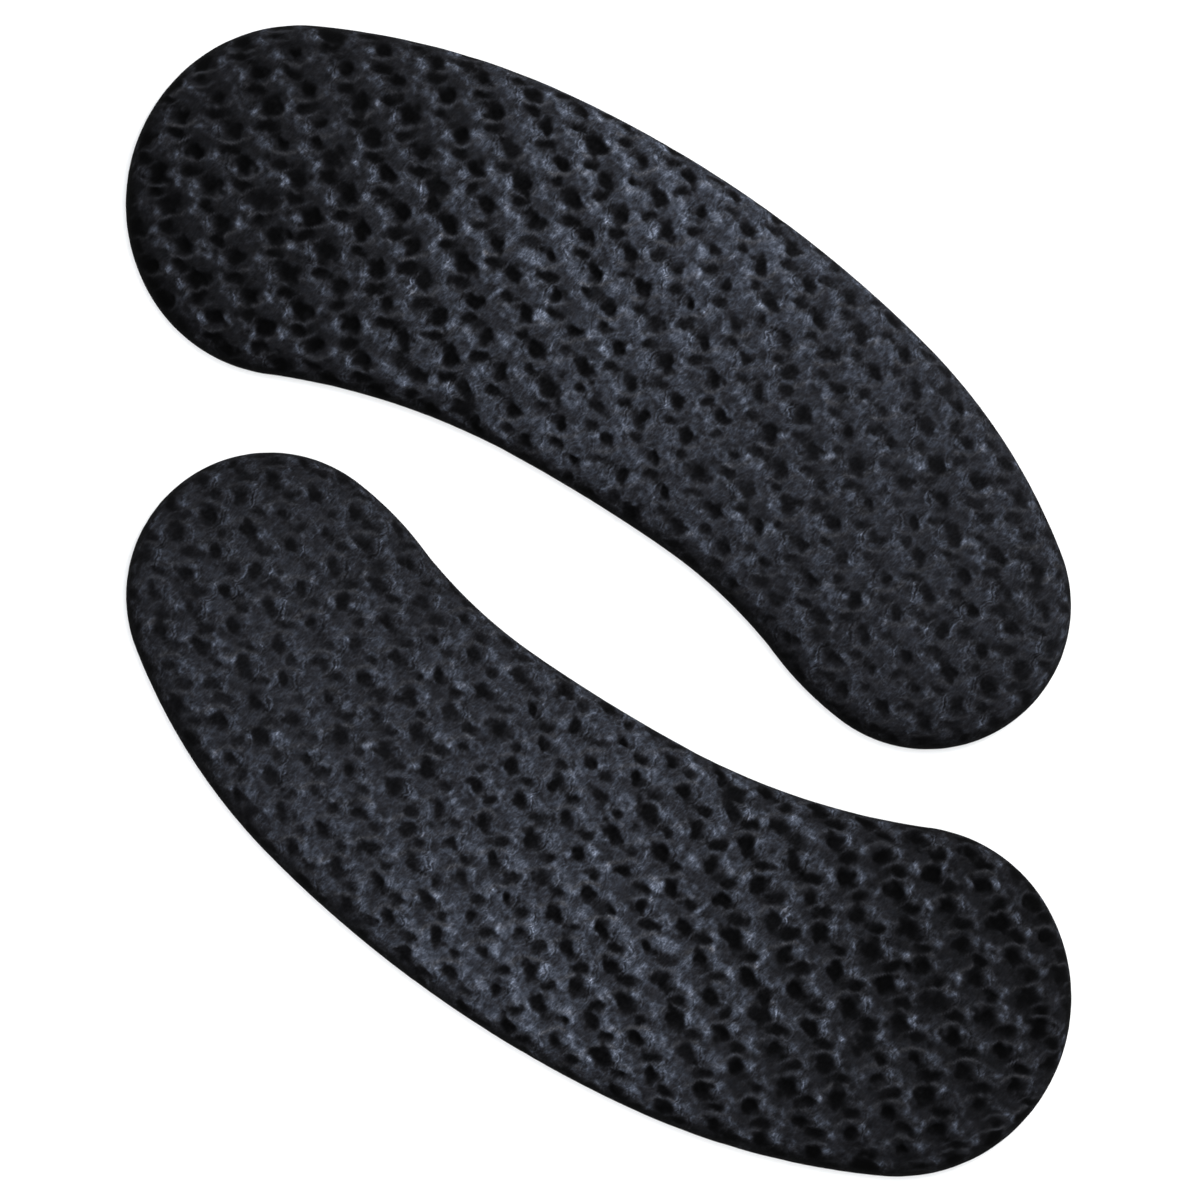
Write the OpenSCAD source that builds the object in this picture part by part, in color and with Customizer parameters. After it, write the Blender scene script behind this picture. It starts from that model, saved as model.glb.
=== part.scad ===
// A pair of self-adhesive heel cushions for the inside of a shoe's heel.
// Each pad is a kidney-shaped lamination: a knitted spacer mesh cover wrapped
// over a foam core, a sheet of double-sided tape under both, and a release
// liner slit across into two halves that peel off separately.
// The two pads are identical. The second is the first turned half round.
// Millimetres, +Z up, the liners lie on z = 0, the pads' long axis is X.

/* [Pad size] */
// Length of one pad from tip to tip
pad_length = 96; // [84:1:110]
// Height of the crown above the surface that the liners lie on
pad_height = 5; // [4.6:0.1:6]
// Height of the widest line of the rolled edge
waist_height = 1.3; // [1.1:0.1:1.6]
// Distance that the underside is set in from the widest line
base_inset = 0.6; // [0.4:0.1:0.8]
// Width of the rolled edge seen from above
roll_width = 2.6; // [2:0.1:3.2]
// Height that the rolled edge gains above its widest line
roll_height = 2; // [1.6:0.1:2.4]
// Distance from the edge at which the crown becomes level
crown_reach = 10; // [8:0.5:10]

/* [Layers] */
// Thickness of the knitted mesh cover
cover_thickness = 0.9; // [0.7:0.1:1.2]
// Thickness of the double-sided tape
tape_thickness = 0.2; // [0.15:0.05:0.3]
// Thickness of the release liner
liner_thickness = 0.15; // [0.1:0.05:0.2]
// Width of the slit between the two halves of a liner
slit_width = 0.3; // [0.2:0.1:0.6]
// Place of the slit, from the pad's middle toward its narrow end
slit_x = 0; // [-8:1:8]

/* [Outline of a 96 mm pad] */
// Radius of the wide end, back corner
wide_back_r = 15.5; // [15.3:0.1:15.7]
// Radius of the wide end, heel corner
wide_front_r = 14.5; // [14.3:0.1:14.7]
// Radius of the blend over the wide tip
wide_tip_r = 16.5; // [16.4:0.1:17]
// Radius of the narrow end
narrow_r = 13; // [12.8:0.1:13.2]
// Radius of the chin under the narrow end
chin_r = 30; // [28:1:32]
// Radius of the long convex back
back_r = 112; // [108:1:116]
// Radius of the long hollow front
front_r = 150; // [140:5:160]
// Radius that blends the back into the wide end
wide_shoulder_r = 70; // [66:1:72]
// Radius that blends the back into the narrow end
narrow_shoulder_r = 55; // [52:1:58]
// Radius that blends the hollow front into the wide end
wide_neck_r = 65; // [62:1:68]
// Radius that blends the hollow front into the narrow end
narrow_neck_r = 45; // [42:1:48]

/* [Pair] */
// Distance of each pad's centre from the pair's centre, along the pads
pair_along = 9.2; // [7:0.2:11]
// Distance of each pad's centre from the pair's centre, across the pads
pair_across = 20.2; // [20.2:0.2:28]

/* [Hidden] */
// Length of one facet of the outline
facet = 2.1;
// Outline numbers are for a 96 mm pad and follow its length
k = pad_length / 96;
// Heights of the joints between the layers
z_tape = liner_thickness;
z_base = liner_thickness + tape_thickness;
// What the crown adds above the rolled edge
crown_rise = pad_height - waist_height - roll_height;

// Centre of a circle that lies d1 from c1 and d2 from c2, on one side of the line
function tangent_centre(c1, d1, c2, d2, side) =
    let (v = c2 - c1, l = norm(v), u = v / l, a = (d1 * d1 - d2 * d2 + l * l) / (2 * l))
    c1 + a * u + side * sqrt(d1 * d1 - a * a) * [-u.y, u.x];

// Centres of the arcs that make the outline, for a 96 mm pad
c_back_end = [-32.5, -2];
c_front_end = [-32.5, -4];
c_narrow = [35.2, -5.7];
c_back = [-6, 18.6 - back_r];
c_front = [-0.5, -12.6 - front_r];
c_chin = c_narrow - (chin_r - narrow_r) * [cos(263), sin(263)];
c_shoulder_w = tangent_centre(c_back_end, wide_shoulder_r - wide_back_r, c_back, back_r - wide_shoulder_r, 1);
c_shoulder_n = tangent_centre(c_narrow, narrow_shoulder_r - narrow_r, c_back, back_r - narrow_shoulder_r, -1);
c_neck_w = tangent_centre(c_front_end, wide_front_r + wide_neck_r, c_front, front_r - wide_neck_r, 1);
c_neck_n = tangent_centre(c_chin, chin_r + narrow_neck_r, c_front, front_r - narrow_neck_r, -1);
c_tip = tangent_centre(c_back_end, wide_tip_r - wide_back_r, c_front_end, wide_tip_r - wide_front_r, 1);

// Each arc: centre, radius, direction where it starts, direction where it ends,
// and -1 for a convex arc or 1 for a hollow one. They run clockwise and meet tangent.
arcs = [
    [c_shoulder_w, wide_shoulder_r, c_back_end - c_shoulder_w, c_shoulder_w - c_back, -1],
    [c_back, back_r, c_shoulder_w - c_back, c_shoulder_n - c_back, -1],
    [c_shoulder_n, narrow_shoulder_r, c_shoulder_n - c_back, c_narrow - c_shoulder_n, -1],
    [c_narrow, narrow_r, c_narrow - c_shoulder_n, c_narrow - c_chin, -1],
    [c_chin, chin_r, c_narrow - c_chin, c_neck_n - c_chin, -1],
    [c_neck_n, narrow_neck_r, c_chin - c_neck_n, c_neck_n - c_front, 1],
    [c_front, front_r, c_neck_n - c_front, c_neck_w - c_front, 1],
    [c_neck_w, wide_neck_r, c_neck_w - c_front, c_front_end - c_neck_w, 1],
    [c_front_end, wide_front_r, c_neck_w - c_front_end, c_front_end - c_tip, -1],
    [c_tip, wide_tip_r, c_front_end - c_tip, c_back_end - c_tip, -1],
    [c_back_end, wide_back_r, c_back_end - c_tip, c_back_end - c_shoulder_w, -1]
];

function turn_of(arc) = atan2(cross(arc[2], arc[3]), arc[2] * arc[3]);
function steps_of(arc) = max(2, ceil(abs(turn_of(arc)) * PI / 180 * arc[1] / facet));

// The outline set in by d, always with the same number of points
function ring(d) = [
    for (arc = arcs)
        let (n = steps_of(arc), t = turn_of(arc), a = atan2(arc[2].y, arc[2].x))
        for (i = [0 : n - 1])
            k * arc[0] + (k * arc[1] + arc[4] * d) * [cos(a + t * i / n), sin(a + t * i / n)]
];

// Height that the crown adds at a distance d from the edge
function crown(d) = crown_rise * (1 - pow(1 - min(d / crown_reach, 1), 2));

// Section of the cushion as pairs of inset and height, from the underside
// round the rolled edge and up to the level top, for a skin t below the outside
function section(t) = concat(
    [for (a = [0 : 45 : 45]) [t + base_inset * (1 - sin(a)), waist_height - (waist_height - z_base) * cos(a)]],
    [for (a = [0 : 22.5 : 90])
        let (d = t + (roll_width - t) * (1 - cos(a)))
        [d, waist_height + (roll_height - t) * sin(a) + crown(d) * sin(a)]],
    [for (d = [4 : 2 : crown_reach]) [d, waist_height + roll_height - t + crown(d)]]
);

function reversed(list) = [for (i = [len(list) - 1 : -1 : 0]) list[i]];

// Closed solid through a stack of equal rings, with a flat end at each end of the stack
module loft(profile) {
    rings = [for (p = profile) [for (q = ring(p[0])) [q.x, q.y, p[1]]]];
    n = len(rings[0]);
    m = len(rings);
    polyhedron(
        points = [for (r = rings) each r],
        faces = concat(
            [[for (i = [n - 1 : -1 : 0]) i]],
            [for (j = [0 : m - 2], i = [0 : n - 1])
                [j * n + i, j * n + (i + 1) % n, (j + 1) * n + (i + 1) % n, (j + 1) * n + i]],
            [[for (i = [0 : n - 1]) (m - 1) * n + i]]
        ),
        convexity = 6
    );
}

// Shell over the top and round the edge, open underneath
module cover_solid() {
    loft(concat(reversed(section(cover_thickness)), section(0)));
}

// Foam that fills the cover down to the tape
module foam_solid() {
    loft(section(cover_thickness));
}

// Flat layer with the outline of the underside
module flat_layer(z, t) {
    translate([0, 0, z]) linear_extrude(t) polygon(ring(base_inset));
}

// One half of the liner: side is -1 for the wide end and 1 for the narrow end
module liner_half(side) {
    intersection() {
        flat_layer(0, liner_thickness);
        translate([slit_x + side * (slit_width / 2 + 60), 0, 0])
            cube([120, 80, 4], center = true);
    }
}

module place_a() {
    translate([-pair_along, pair_across, 0]) children();
}

module place_b() {
    rotate([0, 0, 180]) place_a() children();
}

module cover_mesh_a() { color("#2b2d33") place_a() cover_solid(); }
module foam_core_a() { color("#3a3b3e") place_a() foam_solid(); }
module adhesive_tape_a() { color("#d9d5c8") place_a() flat_layer(z_tape, tape_thickness); }
module liner_wide_a() { color("#b19c76") place_a() liner_half(-1); }
module liner_narrow_a() { color("#a99470") place_a() liner_half(1); }

module cover_mesh_b() { color("#2b2d33") place_b() cover_solid(); }
module foam_core_b() { color("#3a3b3e") place_b() foam_solid(); }
module adhesive_tape_b() { color("#d9d5c8") place_b() flat_layer(z_tape, tape_thickness); }
module liner_wide_b() { color("#b19c76") place_b() liner_half(-1); }
module liner_narrow_b() { color("#a99470") place_b() liner_half(1); }

cover_mesh_a();
foam_core_a();
adhesive_tape_a();
liner_wide_a();
liner_narrow_a();
cover_mesh_b();
foam_core_b();
adhesive_tape_b();
liner_wide_b();
liner_narrow_b();
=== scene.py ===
import math

import bpy
import numpy as np
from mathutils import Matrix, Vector
from mathutils.geometry import delaunay_2d_cdt


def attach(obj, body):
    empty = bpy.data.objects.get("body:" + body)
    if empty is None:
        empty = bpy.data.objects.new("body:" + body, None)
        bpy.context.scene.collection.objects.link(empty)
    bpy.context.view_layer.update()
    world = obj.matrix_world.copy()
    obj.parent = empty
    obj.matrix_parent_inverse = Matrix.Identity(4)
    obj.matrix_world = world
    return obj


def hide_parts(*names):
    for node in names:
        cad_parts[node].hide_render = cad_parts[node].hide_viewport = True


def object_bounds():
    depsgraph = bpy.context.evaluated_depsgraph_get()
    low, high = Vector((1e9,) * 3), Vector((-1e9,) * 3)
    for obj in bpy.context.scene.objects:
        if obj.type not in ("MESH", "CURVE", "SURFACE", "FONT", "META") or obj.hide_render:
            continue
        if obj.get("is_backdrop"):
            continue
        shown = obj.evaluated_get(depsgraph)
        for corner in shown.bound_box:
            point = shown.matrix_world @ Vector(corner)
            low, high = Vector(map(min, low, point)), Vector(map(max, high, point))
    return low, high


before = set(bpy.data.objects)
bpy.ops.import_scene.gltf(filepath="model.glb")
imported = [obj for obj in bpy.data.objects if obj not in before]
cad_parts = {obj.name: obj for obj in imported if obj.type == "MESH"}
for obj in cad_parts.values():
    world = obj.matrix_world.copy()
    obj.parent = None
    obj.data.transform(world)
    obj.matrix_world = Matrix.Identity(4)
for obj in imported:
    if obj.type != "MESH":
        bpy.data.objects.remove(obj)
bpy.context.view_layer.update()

# ------------------------------------------------------------------ knit begins
# Everything in this part is in millimetres, in one pad's own frame: +X toward the narrow end, +Y toward the convex back.

PAIR = (-9.2, 20.2)      # pad A's centre; pad B is pad A turned half round
HEIGHT, WAIST, Z_BASE, BASE_IN = 5.0, 1.3, 0.35, 0.6
ROLL_W, ROLL_H, REACH, COVER = 2.6, 2.0, 10.0, 0.9
RISE = HEIGHT - WAIST - ROLL_H


def v2(*a):
    return np.array(a, float)


def tangent_centre(c1, d1, c2, d2, side):
    v = c2 - c1
    n = np.hypot(*v)
    u = v / n
    a = (d1 * d1 - d2 * d2 + n * n) / (2 * n)
    return c1 + a * u + side * math.sqrt(d1 * d1 - a * a) * v2(-u[1], u[0])


def outline_arcs():
    """The eleven tangent arcs of the outline: centre, radius, start direction, end direction, -1 convex or 1 hollow."""
    back_end, front_end, narrow = v2(-32.5, -2), v2(-32.5, -4), v2(35.2, -5.7)
    back, front = v2(-6, 18.6 - 112), v2(-0.5, -12.6 - 150)
    t = math.radians(263)
    chin = narrow - 17 * v2(math.cos(t), math.sin(t))
    sw = tangent_centre(back_end, 70 - 15.5, back, 112 - 70, 1)
    sn = tangent_centre(narrow, 55 - 13, back, 112 - 55, -1)
    nw = tangent_centre(front_end, 14.5 + 65, front, 150 - 65, 1)
    nn = tangent_centre(chin, 30 + 45, front, 150 - 45, -1)
    tip = tangent_centre(back_end, 1.0, front_end, 2.0, 1)
    return [
        (sw, 70, back_end - sw, sw - back, -1),
        (back, 112, sw - back, sn - back, -1),
        (sn, 55, sn - back, narrow - sn, -1),
        (narrow, 13, narrow - sn, narrow - chin, -1),
        (chin, 30, narrow - chin, nn - chin, -1),
        (nn, 45, chin - nn, nn - front, 1),
        (front, 150, nn - front, nw - front, 1),
        (nw, 65, nw - front, front_end - nw, 1),
        (front_end, 14.5, nw - front_end, front_end - tip, -1),
        (tip, 16.5, front_end - tip, back_end - tip, -1),
        (back_end, 15.5, back_end - tip, back_end - sw, -1),
    ]


ARCS = outline_arcs()


def ring(step):
    """Points of the outline, about a step apart, and their outward normals. They run clockwise."""
    pts, nrm = [], []
    for c, r, u, v, s in ARCS:
        t = math.atan2(u[0] * v[1] - u[1] * v[0], u @ v)
        n = max(2, math.ceil(abs(t) * r / step))
        x = math.atan2(u[1], u[0]) + t * np.arange(n) / n
        cs = np.c_[np.cos(x), np.sin(x)]
        pts.append(c + r * cs)
        nrm.append(-s * cs)
    return np.vstack(pts), np.vstack(nrm)


def inset_of(p):
    """How far each point lies inside the outline."""
    o, n = ring(0.25)
    out = np.empty(len(p))
    for i in range(0, len(p), 8000):
        q = p[i : i + 8000]
        dx, dy = q[:, None, 0] - o[None, :, 0], q[:, None, 1] - o[None, :, 1]
        j = (dx * dx + dy * dy).argmin(1)
        k = np.arange(len(j))
        d = np.hypot(dx[k, j], dy[k, j])
        out[i : i + 8000] = np.where(dx[k, j] * n[j, 0] + dy[k, j] * n[j, 1] > 0, -d, d)
    return out


def crown(d):
    return RISE * (1 - (1 - np.minimum(d / REACH, 1)) ** 2)


def section(t, ease=0.0):
    """Inset and height from the underside, round the rolled edge, to the level top, for a skin t below the outside."""
    a = np.radians(np.linspace(0, 90, 13))[:-1]
    low = np.c_[t + BASE_IN * (1 - np.sin(a)), WAIST - (WAIST - Z_BASE) * np.cos(a)]
    a = np.radians(np.linspace(0, 90, 33))
    d = t + (ROLL_W - t) * (1 - np.cos(a))
    mid = np.c_[d, WAIST + (ROLL_H - t) * np.sin(a) + crown(d) * np.sin(a)]
    d = np.linspace(ROLL_W, REACH + 1.0, 60)[1:]
    top = np.c_[d, WAIST + ROLL_H - t + crown(d)]
    return np.vstack([low, mid, top])


# The knit's drawing is laid out in its own units, with x right and y down, at 30 degrees to the pad.
UNIT = 0.0905
C30, S30 = math.cos(math.radians(30)), math.sin(math.radians(30))
STEP = 0.075
X0, Y0, X1, Y1 = -52.0, -23.0, 52.0, 23.0
NX, NY = int((X1 - X0) / STEP) + 1, int((Y1 - Y0) / STEP) + 1


def smooth(a, b, x):
    t = np.clip((x - a) / (b - a), 0, 1)
    return t * t * (3 - 2 * t)


def lattice(i, j):
    """Centre of the knit's main hole (i, j): two repeats, (2.55, -2.35) and (1.85, 3.2) mm, on a fabric that is laid a little out of true."""
    i, j = i / 10.0, j / 10.0
    slack = (i + j) ** 2 / 2
    return 1.3 + 25.5 * j + 18.5 * i - slack, 3.8 - 23.5 * j + 32.0 * i - slack


def cell_window(cx, cy, r):
    i0, i1 = max(int((cx - r - X0) / STEP), 0), min(int((cx + r - X0) / STEP) + 2, NX)
    j0, j1 = max(int((cy - r - Y0) / STEP), 0), min(int((cy + r - Y0) / STEP) + 2, NY)
    if i0 >= i1 or j0 >= j1:
        return None
    dx, dy = np.meshgrid(X0 + STEP * np.arange(i0, i1) - cx, Y0 + STEP * np.arange(j0, j1) - cy)
    return slice(j0, j1), slice(i0, i1), (dx * C30 + dy * S30) / UNIT, (dx * S30 - dy * C30) / UNIT


def noise(rng, across, along=None, turn=0.0):
    """Smooth seeded noise over the whole drawing. across and along are feature sizes in mm; along lies at turn degrees in the knit's drawing, anticlockwise from its x."""
    along = along or across
    t = math.radians(turn + 30)
    f = np.fft.rfft2(rng.standard_normal((NY, NX)))
    ky, kx = np.fft.fftfreq(NY, STEP)[:, None], np.fft.rfftfreq(NX, STEP)[None, :]
    a, b = kx * math.cos(t) + ky * math.sin(t), -kx * math.sin(t) + ky * math.cos(t)
    g = np.fft.irfft2(f * np.exp(-8 * ((a * along) ** 2 + (b * across) ** 2)), (NY, NX))
    return (g / g.std()).astype(np.float32)


def zone(x, wide, near, middle, narrow):
    """A value that changes along the pad: at the wide end, next to it, in the brushed middle and at the narrow end."""
    return np.interp(x, (-34, -18, -1, 28), (wide, near, middle, narrow))


def blurred(g, s):
    ky, kx = np.fft.fftfreq(NY, STEP)[:, None], np.fft.rfftfreq(NX, STEP)[None, :]
    return np.fft.irfft2(np.fft.rfft2(g) * np.exp(-2 * (math.pi * s) ** 2 * (kx * kx + ky * ky)), (NY, NX))


def knit(seed=11):
    """The knit over one pad: height in mm, the log of its brightness with painted shade in the holes and valleys and
    painted highlights on the knots, how brushed it is, the filaments' phase and strength, and the thin yarns.
    """
    rng = np.random.default_rng(seed)
    xx, yy = np.meshgrid(X0 + STEP * np.arange(NX), Y0 + STEP * np.arange(NY))
    soft, curl, blot = noise(rng, 0.60), noise(rng, 0.28), noise(rng, 2.4)
    tuft, ragged = noise(rng, 0.24, 0.60, 48), noise(rng, 0.40)
    zero = np.zeros((NY, NX), np.float32)
    pit, pit2, bead, ribbon, strand, valley, ribs, phase = (zero.copy() for _ in range(8))
    # the drawing is warped a little, so that no two loops are alike
    wx, wy = 1.0 * soft + 0.45 * curl, 1.0 * noise(rng, 0.60) + 0.45 * noise(rng, 0.28)

    def turned(u, v, angle):
        t = math.radians(angle)
        return u * math.cos(t) + v * math.sin(t), -u * math.sin(t) + v * math.cos(t)

    for i in range(-14, 15):
        for j in range(-17, 18):
            px, py = lattice(i, j)
            if not (X0 - 1 < px < X1 + 1 and Y0 - 1 < py < Y1 + 1):
                continue
            rs = rng.normal(0, 1, 60)
            z = lambda *a: float(zone(px, *a))
            px, py = px + 0.10 * rs[30], py + 0.10 * rs[31]
            got = cell_window(px, py, 5.6)
            if got is None:
                continue
            sj, si, u, v = got
            u, v = u + wx[sj, si], v + wy[sj, si]
            big = 1 + 0.13 * rs[32]
            # the main hole, tall and leaning back
            a, b = z(8.2, 7.6, 6.9, 6.4) * big * (1 + 0.12 * rs[0]), z(8.6, 9.9, 9.4, 8.4) * big * (1 + 0.12 * rs[1])
            p, q = turned(u, v + 0.7, -15 + 8 * rs[2])
            rough = 1 + 0.12 * ragged[sj, si] + 0.08 * curl[sj, si]
            r1 = np.hypot(p / a, q / b) * rough
            pit[sj, si] = np.maximum(pit[sj, si], (1 - smooth(0.28, 1.38, r1)) * min(max(1.05 - 0.20 * abs(rs[3]), 0.5), 1.05))
            # the second hole, low and wide, below it and a little to the left
            sx, sy = z(-3.5, -4.5, -7, -7.5) + 1.5 * rs[4], 18.3 + 1.1 * rs[5]
            a2, b2 = z(8.8, 8.8, 7.8, 8.0) * (1 + 0.14 * rs[6]), z(5.2, 5.6, 5.3, 5.0) * (1 + 0.14 * rs[7])
            p, q = turned(u - sx, v - sy, 8 + 9 * rs[8])
            r2 = np.hypot(p / a2, q / b2) * rough
            pit2[sj, si] = np.maximum(pit2[sj, si], (1 - smooth(0.2, 1.42, r2)) * min(max(0.95 + 0.16 * rs[9], 0.45), 1.05))
            # the valley that runs slantwise from the second hole above to the main hole
            p, q = turned(u + 9.5 + rs[10], v + 10 + rs[11], 47 + 6 * rs[12])
            valley[sj, si] = np.maximum(valley[sj, si], (1 + 0.22 * rs[13]) * np.exp(-((p / 11) ** 2) - (q / z(8.5, 8.0, 5.5, 5.5)) ** 2))
            # the two knots of yarn of each loop, and the ribbon that joins them to the next loop below
            for k, (ex, ey, lo, sh, turn, am) in enumerate((
                (-15.6, 2.6, z(5.8, 7.6, 8.0, 6.5), z(4.8, 5.2, 5.0, 4.6), z(70, 42, 38, 40), 1.0),
                (-19.2, 23.4, z(5.8, 7.0, 8.0, 6.5), z(4.6, 4.8, 5.6, 4.8), z(80, 60, 40, 38), 1.0),
            )):
                p, q = turned(u - ex - 1.3 * rs[14 + 3 * k], v - ey - 1.3 * rs[15 + 3 * k], turn + 9 * rs[16 + 3 * k])
                lump = np.exp(-((p / lo) ** 2) - (q / sh) ** 2)
                bead[sj, si] = np.maximum(bead[sj, si], am * min(max(1 + 0.30 * rs[20 + k], 0.25), 1.6) * lump)
            for k, (ex, ey, lo, sh, turn, am) in enumerate(((-7, 31.5, 11.0, 4.6, 42, 1.0), (-13.5, 13, 3.4, 9.5, 18, 0.55), (24, 12, 10, 5.5, 45, 0.7))):
                p, q = turned(u - ex - 1.2 * rs[22 + k], v - ey - 1.2 * rs[25 + k], turn + 7 * rs[28])
                lump = np.exp(-((p / lo) ** 2) - (q / sh) ** 2)
                ribbon[sj, si] = np.maximum(ribbon[sj, si], am * min(max(1 + 0.25 * rs[33 + k], 0.2), 1.5) * lump)
            # the thin yarn that passes under each hole, from knot to knot
            for k, (bx, by, dn, ln, am) in enumerate(((-2, 0, 11.6, 17.5, 1.0), (sx - 1, sy, 8.4, 17, 0.45))):
                du, dv = u - bx, v - by
                yc = dn - 5.5 * (du / ln) ** 2 + 0.9 * rs[36 + k]
                st = np.exp(-(((dv - yc) / 1.9) ** 2)) * smooth(-16, -9, du) * (1 - smooth(ln - 4, ln + 5, du))
                strand[sj, si] = np.maximum(strand[sj, si], am * min(max(1 + 0.30 * rs[38 + k], 0.2), 1.5) * st)
            # filaments run round the left of each hole
            for bx, by, aa, bb, am in ((0, 0, a + 6, b + 4.6, 1.0), (sx, sy, a2 + 5, b2 + 5.5, 0.8)):
                r, an = np.hypot((u - bx) / aa, (v - by) / bb), np.degrees(np.arctan2(v - by, bx - u))
                w = am * min(max(1 + 0.4 * rs[40], 0.2), 1.6) * np.exp(-(((r - 1.15) / 0.30) ** 2)) * np.exp(-(((an + 25) / 55) ** 2)) * (r > 0.6)
                ahead = w > ribs[sj, si]
                ribs[sj, si] = np.where(ahead, w, ribs[sj, si])
                phase[sj, si] = np.where(ahead, np.hypot(u - bx, (v - by) * aa / bb) + bx, phase[sj, si])
    # how brushed the surface is, from the smooth ground at the wide end to the fuzzy middle
    fuzz = zone(xx, 0.10, 0.45, 1.0, 0.55) + 0.18 * blot * zone(xx, 0.3, 1, 1, 0.6)
    yarn = np.clip(0.9 * bead + 0.7 * ribbon, 0, 1)
    brushed = np.clip(yarn + fuzz + 0.12 * ragged, 0, 1)
    pit, pit2, valley = np.clip(pit, 0, 1), np.clip(pit2, 0, 1), np.clip(valley, 0, 1.2)
    holes = np.maximum(pit, pit2)
    h = 0.13 * np.clip(bead, 0, 1.3) + 0.07 * np.clip(ribbon, 0, 1) + 0.05 * np.clip(strand, 0, 1) - 0.16 * valley - 0.10
    h = h + 0.06 * zone(xx, -0.8, -0.2, 1, 0.6) + brushed * (0.026 * curl + 0.026 * tuft) + 0.02 * soft
    h = h * (1 - 0.7 * holes) - zone(xx, 0.60, 0.60, 0.58, 0.38) * pit - zone(xx, 0.40, 0.42, 0.40, 0.22) * pit2 * (1 - pit)
    h = np.clip(h - 0.03, -0.80, 0.10)
    # brightness against the mean of its neighbourhood
    tone_and_shading = zone(xx, 0.78, 0.86, 1.06, 1.02) * np.exp(0.12 * soft + brushed * (0.16 * curl + 0.10 * tuft) + 0.10 * blot * zone(xx, 1, 1.6, 1, 0.8))
    # painted shade: the valleys are painted darker, as if in shade
    tone_and_shading *= 1 - np.clip(valley * (1 + 0.18 * ragged), 0, 1.2) * zone(xx, 0.64, 0.76, 0.60, 0.58)
    # painted highlight: the knots are light yarn, painted far lighter still, as if each one catches the light
    knot_highlight = zone(xx, 3.7, 3.3, 2.35, 1.85)
    lit = np.exp(0.20 * curl + 0.20 * tuft + 0.12 * ragged)
    w = np.clip(bead * (1 + 0.22 * ragged + 0.15 * curl), 0, 1.25)
    tone_and_shading = tone_and_shading + (knot_highlight * lit - tone_and_shading) * np.clip(w, 0, 1) * 0.95
    w = np.clip(ribbon * (1 + 0.30 * ragged + 0.15 * curl), 0, 1)
    tone_and_shading = tone_and_shading + np.clip(zone(xx, 1.6, 2.1, 1.75, 1.45) * lit - tone_and_shading, 0, 9) * w
    w = np.clip(strand * (1 + 0.3 * soft), 0, 1)
    tone_and_shading = tone_and_shading + np.clip(zone(xx, 2.0, 1.75, 1.55, 1.50) - tone_and_shading, 0, 9) * w
    # painted shade: the floors of the holes are painted nearly black, as if in deep shade
    tone_and_shading = tone_and_shading ** (1 - pit) * zone(xx, 0.105, 0.08, 0.08, 0.23) ** pit
    tone_and_shading = tone_and_shading ** (1 - 0.94 * pit2) * zone(xx, 0.13, 0.12, 0.14, 0.34) ** (0.94 * pit2)
    # painted light: the middle is the lightest, partly as it is the most brushed and partly as if it were turned to the
    # light, and it is painted a little lighter toward the back, as if lit from that side
    mean = 0.0145 + 0.0215 * np.exp(-(((xx + 2) / np.where(xx < -2, 20.5, 30)) ** 2)) + 0.0075 * smooth(10, 40, xx)
    # a painted sheen: a lighter band is painted along the back, where the fabric turns over the edge
    back_sheen = 0.22 * np.exp(-(((yy - 16) / 3) ** 2) - ((xx - 9) / 16) ** 2)
    tone_and_shading = np.log(tone_and_shading * mean * (1 + 0.009 * yy + back_sheen))
    tone_and_shading = tone_and_shading + 1.0 * (tone_and_shading - blurred(tone_and_shading, 0.16))
    return h, tone_and_shading, brushed, phase, ribs * (1 - holes) * (0.25 + 0.75 * brushed), strand * (1 - holes)


def sample(grid, p):
    """The drawing's value at points p, between its own points."""
    x = np.clip((p[:, 0] - X0) / STEP, 0, NX - 1.001)
    y = np.clip((p[:, 1] - Y0) / STEP, 0, NY - 1.001)
    i, j = x.astype(int), y.astype(int)
    fx, fy = x - i, y - j
    return (grid[j, i] * (1 - fx) + grid[j, i + 1] * fx) * (1 - fy) + (grid[j + 1, i] * (1 - fx) + grid[j + 1, i + 1] * fx) * fy


# ------------------------------------------------------------------ knit ends


def along_section(sec, step, stop):
    """The section cut off at inset stop on top and resampled evenly: inset, height, and the way still to go to the cut."""
    k = np.nonzero((sec[:, 0] >= stop) & (sec[:, 1] > WAIST + 1))[0][0]
    f = (stop - sec[k - 1, 0]) / (sec[k, 0] - sec[k - 1, 0])
    sec = np.vstack([sec[:k], sec[k - 1] + f * (sec[k] - sec[k - 1])])
    s = np.r_[0, np.cumsum(np.hypot(*np.diff(sec, axis=0).T))]
    n = max(4, round(s[-1] / step))
    x = np.linspace(0, s[-1], n + 1)
    return np.c_[np.interp(x, s, sec[:, 0]), np.interp(x, s, sec[:, 1])], s[-1] - x


def section_normals(sec):
    """Normals of a section as (outward, up) parts."""
    g = np.gradient(sec, axis=0)
    n = np.c_[g[:, 1], g[:, 0]]
    n /= np.hypot(*n.T)[:, None]
    return n


def inner_points(step, least):
    """A square grid of points that lie at least so far inside the outline."""
    x, y = np.meshgrid(np.arange(-49, 49, step), np.arange(-20, 20, step))
    p = np.c_[x.ravel(), y.ravel()]
    d = inset_of(p)
    keep = d > least
    return p[keep], d[keep]


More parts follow.
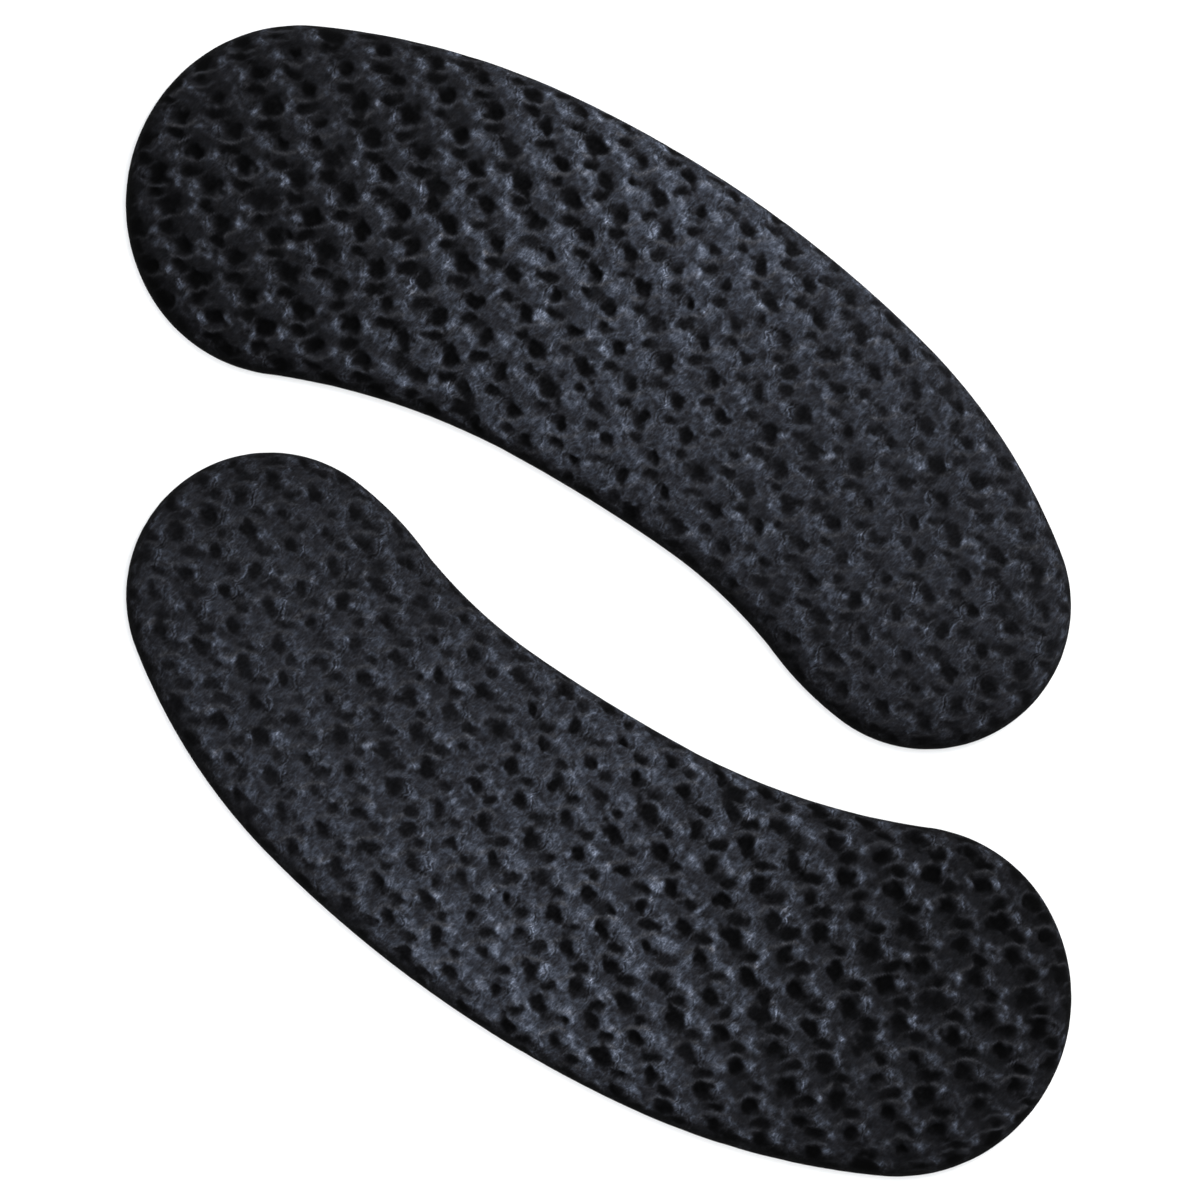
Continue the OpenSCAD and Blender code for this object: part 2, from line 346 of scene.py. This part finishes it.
def fill(loop, pts):
    """Triangles over a closed loop of points and the points inside it, anticlockwise."""
    n = len(loop)
    both = np.vstack([loop, pts])
    _, _, faces, orig, _, _ = delaunay_2d_cdt([Vector(q) for q in both.tolist()], [(i, (i + 1) % n) for i in range(n)], [], 1, 1e-6)
    back = [o[0] for o in orig]
    tri = np.array([[back[i] for i in f] for f in faces if len(f) == 3])
    a, b, c = both[tri[:, 0]], both[tri[:, 1]], both[tri[:, 2]]
    turn = (b[:, 0] - a[:, 0]) * (c[:, 1] - a[:, 1]) - (b[:, 1] - a[:, 1]) * (c[:, 0] - a[:, 0])
    tri[turn < 0] = tri[turn < 0][:, ::-1]
    return tri


def bands(first, rows, n):
    """Quads between rows of n points each, for rows that start at index first."""
    i = np.arange(n)
    k = (i + 1) % n
    return np.vstack([np.c_[first + r * n + i, first + (r + 1) * n + i, first + (r + 1) * n + k, first + r * n + k] for r in range(rows - 1)])


def shell_rows(o, nrm, sec):
    """3-D points of a stack of rings: each is the outline set in by sec[:, 0], at height sec[:, 1]."""
    return np.vstack([np.c_[o - nrm * d, np.full(len(o), z)] for d, z in sec])


def place(p, side):
    """Pad-local mm to the row frame in metres. side is "a" or "b"."""
    q = p.astype(float).copy()
    q[:, 0] += PAIR[0]
    q[:, 1] += PAIR[1]
    if side == "b":
        q[:, :2] *= -1
    return q / 1000


def make_object(name, verts, quads, tris, floats=(), vectors=()):
    """A smooth mesh object from numpy arrays, with named attributes on its points."""
    m = bpy.data.meshes.new(name)
    nq, nt = len(quads), len(tris)
    m.vertices.add(len(verts))
    m.vertices.foreach_set("co", np.asarray(verts, np.float32).ravel())
    m.loops.add(4 * nq + 3 * nt)
    m.loops.foreach_set("vertex_index", np.r_[np.asarray(quads, np.int32).ravel(), np.asarray(tris, np.int32).ravel()])
    m.polygons.add(nq + nt)
    m.polygons.foreach_set("loop_start", np.r_[4 * np.arange(nq), 4 * nq + 3 * np.arange(nt)].astype(np.int32))
    m.update(calc_edges=True)
    m.validate()
    m.polygons.foreach_set("use_smooth", np.ones(len(m.polygons), bool))
    for key, value in dict(floats).items():
        m.attributes.new(key, "FLOAT", "POINT").data.foreach_set("value", np.asarray(value, np.float32))
    for key, value in dict(vectors).items():
        m.attributes.new(key, "FLOAT_VECTOR", "POINT").data.foreach_set("vector", np.asarray(value, np.float32).ravel())
    o = bpy.data.objects.new(name, m)
    bpy.context.scene.collection.objects.link(o)
    return o


def cover_geometry(height, tone_and_shading, brushed, phase, ribs, yarn):
    """The knitted cover as a closed shell: dense outside with the knit's relief, plain inside."""
    cut = 3.0
    sec, togo = along_section(section(0), 0.205, cut)
    nor = section_normals(sec)
    o, nrm = ring(0.205)
    n, rows = len(o), len(sec)
    base = shell_rows(o, nrm, sec)
    flat = np.vstack([o - nrm * (cut - g) for g in togo])          # where each point lies on the unrolled fabric
    normal = np.vstack([np.c_[nrm * a, np.full(n, b)] for a, b in nor])
    fade = np.repeat(0.04 + 0.96 * smooth(0.2, 2.4, sec[:, 0]) * smooth(-0.2, 0.6, sec[:, 1] - WAIST), n)   # drawn tight round the edge
    pts, d = inner_points(0.193, cut + 0.12)
    top = np.c_[pts, WAIST + ROLL_H + crown(d)]
    slope = np.where(d < REACH, RISE * 2 / REACH * (1 - np.minimum(d / REACH, 1)), 0)
    # outward direction inside the pad, from the inset's own slope
    e = 0.05
    gx = (inset_of(pts + [e, 0]) - d) / e
    gy = (inset_of(pts + [0, e]) - d) / e
    up = np.c_[-gx * slope, -gy * slope, np.ones(len(pts))]
    up /= np.sqrt((up**2).sum(1))[:, None]
    verts = np.vstack([base, top])
    normal = np.vstack([normal, up])
    flat = np.vstack([flat, pts])
    fade = np.r_[fade, np.ones(len(pts))]
    h = sample(height, flat) * fade
    loop = base[(rows - 1) * n :, :2]
    tri = fill(loop, pts)
    tri = np.where(tri < n, tri + (rows - 1) * n, tri - n + rows * n)
    verts = verts + normal * h[:, None]
    around = np.vstack([np.c_[np.repeat(sec[:, 0], n), np.tile(nrm[:, 0], rows), np.tile(nrm[:, 1], rows)], np.c_[d, np.zeros((len(d), 2))]])
    maps = {"tone_and_shading": sample(tone_and_shading, flat), "brushed": sample(brushed, flat), "phase": sample(phase, flat), "ribs": sample(ribs, flat), "yarn": sample(yarn, flat)}
    # inside: plain, from the top down to the lower edge
    inn = section(COVER)
    keep = np.r_[0, 6, 12, 20, 28, 36, 44, 60, 80]
    inn = inn[keep][::-1]
    first = len(verts)
    inside = shell_rows(o, nrm, inn)
    m = len(inn)
    verts = np.vstack([verts, inside])
    quads = [bands(0, rows, n), bands(first, m, n)]
    last = first + (m - 1) * n
    i = np.arange(n)
    k = (i + 1) % n
    quads.append(np.c_[last + i, i, k, last + k])                    # the glued lower edge
    cap = fill(inside[:n, :2], np.zeros((0, 2)))[:, ::-1] + first
    quads = np.vstack(quads)
    tris = np.vstack([tri, cap])
    flat = np.vstack([flat, inside[:, :2]])
    around = np.vstack([around, np.zeros((len(inside), 3))])
    maps = {k: np.r_[v, np.full(len(inside), -4.4 if k == "tone_and_shading" else 0.0)] for k, v in maps.items()}
    return verts, quads, tris, maps, {"cloth": np.c_[flat, np.zeros(len(flat))]}, around


def edge_shade(around, z, side):
    """Painted shade on the rolled edge: it is darker toward the outline, most of all where it faces away from the
    light. The wall under the widest line gets less of this painted shade.
    """
    d, nx, ny = around.T
    turn = 1 if side == "a" else -1
    # 0 toward the picture's upper right, 1 toward its lower left
    away = 0.5 - 0.5 * turn * (nx * math.cos(math.radians(75)) + ny * math.sin(math.radians(75)))
    width = 0.4 + 1.9 * away**1.5
    least = 0.05 + 0.85 * (1 - away) ** 2
    shade = least + (1 - least) * smooth(0, 1, d / width)
    shade = np.maximum(shade, 0.30 * (1 - smooth(-0.3, 0.5, z - WAIST)))
    return np.where(np.hypot(nx, ny) < 0.5, 1, shade)


def foam_geometry(seed=5):
    """The foam core: a closed cushion just inside the cover, with the dimpled skin of open-cell foam."""
    rng = np.random.default_rng(seed)
    o, nrm = ring(0.8)
    n = len(o)
    cut = 4.2
    sec, togo = along_section(section(COVER + 0.04), 0.5, cut)
    rows = len(sec)
    base = shell_rows(o, nrm, sec)
    pts, d = inner_points(0.62, cut + 0.3)
    pts = pts + rng.normal(0, 0.06, pts.shape)
    top = np.c_[pts, WAIST + ROLL_H - COVER - 0.04 + crown(d)]
    cells = noise(rng, 1.1)
    verts = np.vstack([base, top])
    low = sample(cells, verts[:, :2])
    verts[n:, 2] -= np.clip(0.05 + 0.04 * low[n:], 0, 0.14) * smooth(0.5, 1.6, verts[n:, 2])
    loop = base[(rows - 1) * n :, :2]
    tri = fill(loop, pts)
    tri = np.where(tri < n, tri + (rows - 1) * n, tri - n + rows * n)
    quads = bands(0, rows, n)
    under = fill(base[:n, :2], np.zeros((0, 2)))[:, ::-1]
    return verts, quads, np.vstack([tri, under])


# ------------------------------------------------------------------ materials

DYE = 0.42    # from the knit's brightness to the dye's reflectance, for this light


class Tree:
    """Short calls for building a node tree."""

    def __init__(self, name):
        self.mat = bpy.data.materials.new(name)
        self.mat.use_nodes = True
        self.t = self.mat.node_tree
        self.t.nodes.clear()
        self.out = self.t.nodes.new("ShaderNodeOutputMaterial")
        self.bsdf = self.t.nodes.new("ShaderNodeBsdfPrincipled")
        self.t.links.new(self.bsdf.outputs[0], self.out.inputs[0])

    def node(self, kind, links=None, **props):
        n = self.t.nodes.new(kind)
        for k, v in props.items():
            setattr(n, k, v)
        for k, v in (links or {}).items():
            if isinstance(v, bpy.types.NodeSocket):
                self.t.links.new(v, n.inputs[k])
            else:
                n.inputs[k].default_value = v
        return n

    def link(self, socket, key):
        self.t.links.new(socket, self.bsdf.inputs[key])

    def set(self, **values):
        for k, v in values.items():
            self.bsdf.inputs[k.replace("_", " ")].default_value = v

    def maths(self, op, a, b=None, c=None, clamp=False):
        n = self.node("ShaderNodeMath", {}, operation=op, use_clamp=clamp)
        for i, v in enumerate((a, b, c)):
            if v is None:
                continue
            if isinstance(v, bpy.types.NodeSocket):
                self.t.links.new(v, n.inputs[i])
            else:
                n.inputs[i].default_value = v
        return n.outputs[0]

    def attribute(self, name, out="Fac"):
        return self.node("ShaderNodeAttribute", attribute_name=name).outputs[out]

    def noise(self, vector, scale, detail=3.0, rough=0.55, distortion=0.0):
        return self.node("ShaderNodeTexNoise", {"Vector": vector, "Scale": scale, "Detail": detail, "Roughness": rough, "Distortion": distortion}).outputs["Fac"]

    def mapping(self, vector, scale=(1, 1, 1), turn=0.0):
        return self.node("ShaderNodeMapping", {"Vector": vector, "Rotation": (0, 0, math.radians(turn)), "Scale": scale}).outputs[0]

    def ramp(self, fac, stops):
        n = self.node("ShaderNodeValToRGB", {"Fac": fac})
        e = n.color_ramp.elements
        while len(e) > len(stops):
            e.remove(e[-1])
        while len(e) < len(stops):
            e.new(0.5)
        for s, (p, c) in zip(e, stops):
            s.position, s.color = p, (*c, 1)
        return n.outputs[0]

    def scaled(self, colour, factor):
        return self.node("ShaderNodeVectorMath", {0: colour, "Scale": factor}, operation="SCALE").outputs[0]


def knit_material():
    t = Tree("brushed_knit")
    cloth = t.attribute("cloth", "Vector")
    tone_and_shading, brushed = t.attribute("tone_and_shading"), t.attribute("brushed")
    # single fibres: fine streaks that lie at a slant, and specks
    turned = t.mapping(cloth, (1, 1, 1), -78)
    streak = t.noise(t.node("ShaderNodeVectorMath", {0: turned, 1: (0.34, 1.0, 1.0)}, operation="MULTIPLY").outputs[0], 7.5, 1.5, 0.55, 0.4)
    speck = t.noise(cloth, 9.0, 1.0, 0.5)
    waver = t.noise(cloth, 2.2, 1.0, 0.5)
    fibre = t.maths("MULTIPLY", t.maths("SUBTRACT", streak, 0.5), 2.2)
    fibre = t.maths("MULTIPLY_ADD", t.maths("SUBTRACT", speck, 0.5), 0.5, fibre)
    # wisps: thin light strands that wander over the brushed face
    for k, (turn, thin, width, gain) in enumerate(((-70, 1.9, 0.050, 0.46), (-12, 1.5, 0.040, 0.34))):
        lane = t.node("ShaderNodeVectorMath", {0: t.mapping(cloth, (1, 1, 1), turn), 1: (0.45, 1.0, 1.0)}, operation="MULTIPLY").outputs[0]
        lane = t.node("ShaderNodeVectorMath", {0: lane, 1: (0.0, 0.0, 7.3 * (k + 1))}, operation="ADD").outputs[0]
        off = t.maths("MULTIPLY", t.maths("SUBTRACT", t.noise(lane, thin, 2.0, 0.45, 0.6), 0.5), 1 / width)
        wisp = t.maths("POWER", 2.718, t.maths("MULTIPLY", t.maths("MULTIPLY", off, off), -1.0))
        fibre = t.maths("MULTIPLY_ADD", t.maths("SUBTRACT", wisp, 0.28), gain, fibre)
    fibre = t.maths("MULTIPLY", fibre, t.maths("MULTIPLY_ADD", brushed, 0.55, 0.45))
    # the yarn's filaments, which run round the head of each loop
    turns = t.maths("MULTIPLY_ADD", t.attribute("phase"), 2 * math.pi / 4.8, t.maths("MULTIPLY", waver, 9.0))
    line = t.maths("MULTIPLY", t.maths("SINE", turns), t.attribute("ribs"))
    grain = t.maths("MULTIPLY_ADD", line, 0.62, fibre)
    # the painted shade in the holes, valleys and along the edge and the painted highlights on the knots reach the base
    # colour here
    value = t.maths("MULTIPLY", t.maths("POWER", 2.718, t.maths("ADD", tone_and_shading, grain)), DYE)
    # bluish where it is brushed, nearly grey in the dark, a little warm on the thin yarns
    hue = t.maths("MULTIPLY_ADD", t.maths("SUBTRACT", t.noise(cloth, 1.6, 2.0, 0.5), 0.5), 1.2, t.maths("MULTIPLY", value, 36.0, clamp=True), clamp=True)
    tint = t.node("ShaderNodeMix", {"Factor": hue, 6: (0.95, 0.95, 1.10, 1), 7: (0.82, 0.94, 1.24, 1)}, data_type="RGBA").outputs[2]
    warm = t.maths("MULTIPLY", t.attribute("yarn"), 0.7, clamp=True)
    tint = t.node("ShaderNodeMix", {"Factor": warm, 6: tint, 7: (0.98, 0.97, 1.05, 1)}, data_type="RGBA").outputs[2]
    t.link(t.scaled(tint, value), "Base Color")
    t.link(t.maths("MULTIPLY_ADD", grain, -0.08, 0.90, clamp=True), "Roughness")
    bump = t.node("ShaderNodeBump", {"Strength": 0.5, "Distance": 0.00006, "Height": t.maths("ADD", streak, t.maths("MULTIPLY", speck, 0.5))})
    t.link(bump.outputs[0], "Normal")
    t.set(Specular_IOR_Level=0.03)
    return t.mat


def foam_material():
    t = Tree("open_cell_foam")
    pos = t.node("ShaderNodeTexCoord").outputs["Object"]
    mm = t.node("ShaderNodeVectorMath", {0: pos, "Scale": 1000.0}, operation="SCALE").outputs[0]
    cells = t.node("ShaderNodeTexVoronoi", {"Vector": mm, "Scale": 2.6}, feature="SMOOTH_F1").outputs["Distance"]
    cloud = t.noise(mm, 0.5, 3.0)
    # painted shade: the foam is painted darker in the hollows of its cells, where the bump is lowest
    col = t.ramp(t.maths("MULTIPLY_ADD", cloud, 0.5, t.maths("MULTIPLY", cells, 0.6)), [(0.15, (0.014, 0.014, 0.016)), (0.75, (0.062, 0.063, 0.068))])
    t.link(col, "Base Color")
    t.link(t.maths("MULTIPLY_ADD", cells, -0.15, 0.97), "Roughness")
    t.link(t.node("ShaderNodeBump", {"Strength": 0.8, "Distance": 0.0002, "Height": cells}).outputs[0], "Normal")
    t.set(Specular_IOR_Level=0.2)
    return t.mat


def tape_material():
    t = Tree("adhesive_film")
    pos = t.node("ShaderNodeTexCoord").outputs["Object"]
    mm = t.node("ShaderNodeVectorMath", {0: pos, "Scale": 1000.0}, operation="SCALE").outputs[0]
    scrim = t.noise(t.mapping(mm, (0.35, 2.2, 1), 20), 1.6, 4.0, 0.6)
    blot = t.noise(mm, 0.28, 3.0)
    col = t.ramp(t.maths("MULTIPLY_ADD", scrim, 0.6, t.maths("MULTIPLY", blot, 0.5)), [(0.3, (0.56, 0.52, 0.42)), (0.8, (0.80, 0.78, 0.70))])
    t.link(col, "Base Color")
    t.link(t.maths("MULTIPLY_ADD", blot, 0.25, 0.18), "Roughness")
    t.link(t.node("ShaderNodeBump", {"Strength": 0.3, "Distance": 0.00012, "Height": scrim}).outputs[0], "Normal")
    t.set(Specular_IOR_Level=0.5, Coat_Weight=0.25, Coat_Roughness=0.2)
    return t.mat


def liner_material():
    t = Tree("release_paper")
    pos = t.node("ShaderNodeTexCoord").outputs["Object"]
    mm = t.node("ShaderNodeVectorMath", {0: pos, "Scale": 1000.0}, operation="SCALE").outputs[0]
    fibre = t.noise(t.mapping(mm, (0.5, 1.6, 1), 8), 3.2, 5.0, 0.65)
    cloud = t.noise(mm, 0.16, 3.0)
    col = t.ramp(t.maths("MULTIPLY_ADD", fibre, 0.45, t.maths("MULTIPLY", cloud, 0.6)), [(0.28, (0.25, 0.18, 0.09)), (0.76, (0.47, 0.36, 0.20))])
    t.link(col, "Base Color")
    t.link(t.maths("MULTIPLY_ADD", cloud, 0.2, 0.32), "Roughness")
    t.link(t.node("ShaderNodeBump", {"Strength": 0.25, "Distance": 0.00008, "Height": fibre}).outputs[0], "Normal")
    t.set(Specular_IOR_Level=0.45)
    return t.mat


# ------------------------------------------------------------------ build the pair

cover_geo = cover_geometry(*knit())
foam_geo = foam_geometry()
knit_mat, foam_mat, tape_mat, liner_mat = knit_material(), foam_material(), tape_material(), liner_material()

for side in "ab":
    verts, quads, tris, maps, vectors, around = cover_geo
    # painted shade along the edge, darkest where it faces away from the light, is added to the knit's brightness here
    maps = {**maps, "tone_and_shading": maps["tone_and_shading"] + np.log(edge_shade(around, verts[:, 2], side))}
    piece = make_object(f"knit_cover_{side}", place(verts, side), quads, tris, maps, vectors)
    piece.data.materials.append(knit_mat)
    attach(piece, f"pad_{side}")
    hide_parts(f"cover_mesh_{side}")

    verts, quads, tris = foam_geo
    piece = make_object(f"foam_pad_{side}", place(verts, side), quads, tris)
    piece.data.materials.append(foam_mat)
    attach(piece, f"pad_{side}")
    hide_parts(f"foam_core_{side}")

    for node, mat in ((f"adhesive_tape_{side}", tape_mat), (f"liner_wide_{side}", liner_mat), (f"liner_narrow_{side}", liner_mat)):
        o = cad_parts[node]
        o.data.materials.clear()
        o.data.materials.append(mat)

# ------------------------------------------------------------------ floor, light and camera

low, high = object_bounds()
mid = (low + high) / 2


def floor():
    m = bpy.data.meshes.new("floor")
    s = 3.0
    m.from_pydata([(-s, -s, 0), (s, -s, 0), (s, s, 0), (-s, s, 0)], [], [(0, 1, 2, 3)])
    o = bpy.data.objects.new("floor", m)
    o.location = (mid.x, mid.y, low.z - 0.00005)
    bpy.context.scene.collection.objects.link(o)
    t = Tree("pale_floor")
    pos = t.node("ShaderNodeTexCoord").outputs["Object"]
    t.link(t.ramp(t.noise(pos, 4.0, 2.0), [(0.3, (0.86, 0.86, 0.86)), (0.7, (0.88, 0.88, 0.88))]), "Base Color")
    t.set(Roughness=0.9, Specular_IOR_Level=0.1)
    m.materials.append(t.mat)
    o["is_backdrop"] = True


def lamp(name, direction, distance, size, power, colour=(1, 1, 1)):
    d = Vector(direction).normalized()
    data = bpy.data.lights.new(name, "AREA")
    data.shape, data.size, data.energy, data.color = "DISK", size, power, colour
    o = bpy.data.objects.new(name, data)
    o.location = mid + d * distance
    o.rotation_mode = "QUATERNION"
    o.rotation_quaternion = d.to_track_quat("Z", "Y")
    bpy.context.scene.collection.objects.link(o)


floor()
# up in the picture and right in the picture, on the floor
right, up = Vector((C30, S30, 0)), Vector((-S30, C30, 0))
key = right * 0.75 + up * 0.75 + Vector((0, 0, 1.0))
lamp("key", key, 1.0, 0.5, 6.5, (1.0, 0.99, 0.97))
lamp("top", Vector((0, 0, 1.0)), 1.3, 1.6, 22.5, (0.98, 0.99, 1.0))

world = bpy.data.worlds.new("studio")
world.use_nodes = True
world.node_tree.nodes["Background"].inputs[0].default_value = (0.95, 0.97, 1.0, 1)
world.node_tree.nodes["Background"].inputs[1].default_value = 0.64
bpy.context.scene.world = world

cam_data = bpy.data.cameras.new("camera")
cam_data.type = "PERSP"
cam_data.sensor_width = 36.0
distance = 1.3
cam_data.lens = 36.0 * distance / (1200 / 1060.8 * 0.096)
cam_data.clip_start, cam_data.clip_end = 0.05, 20.0
camera = bpy.data.objects.new("camera", cam_data)
centre = right * (1.4 * UNIT / 1000) + up * (0.9 * UNIT / 1000)
camera.location = (centre.x, centre.y, WAIST / 1000 + distance)
camera.rotation_euler = (0, 0, math.radians(30))
bpy.context.scene.collection.objects.link(camera)
bpy.context.scene.camera = camera

view = bpy.context.scene.view_settings
view.view_transform = "Standard"
view.look = "None"

low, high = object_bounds()
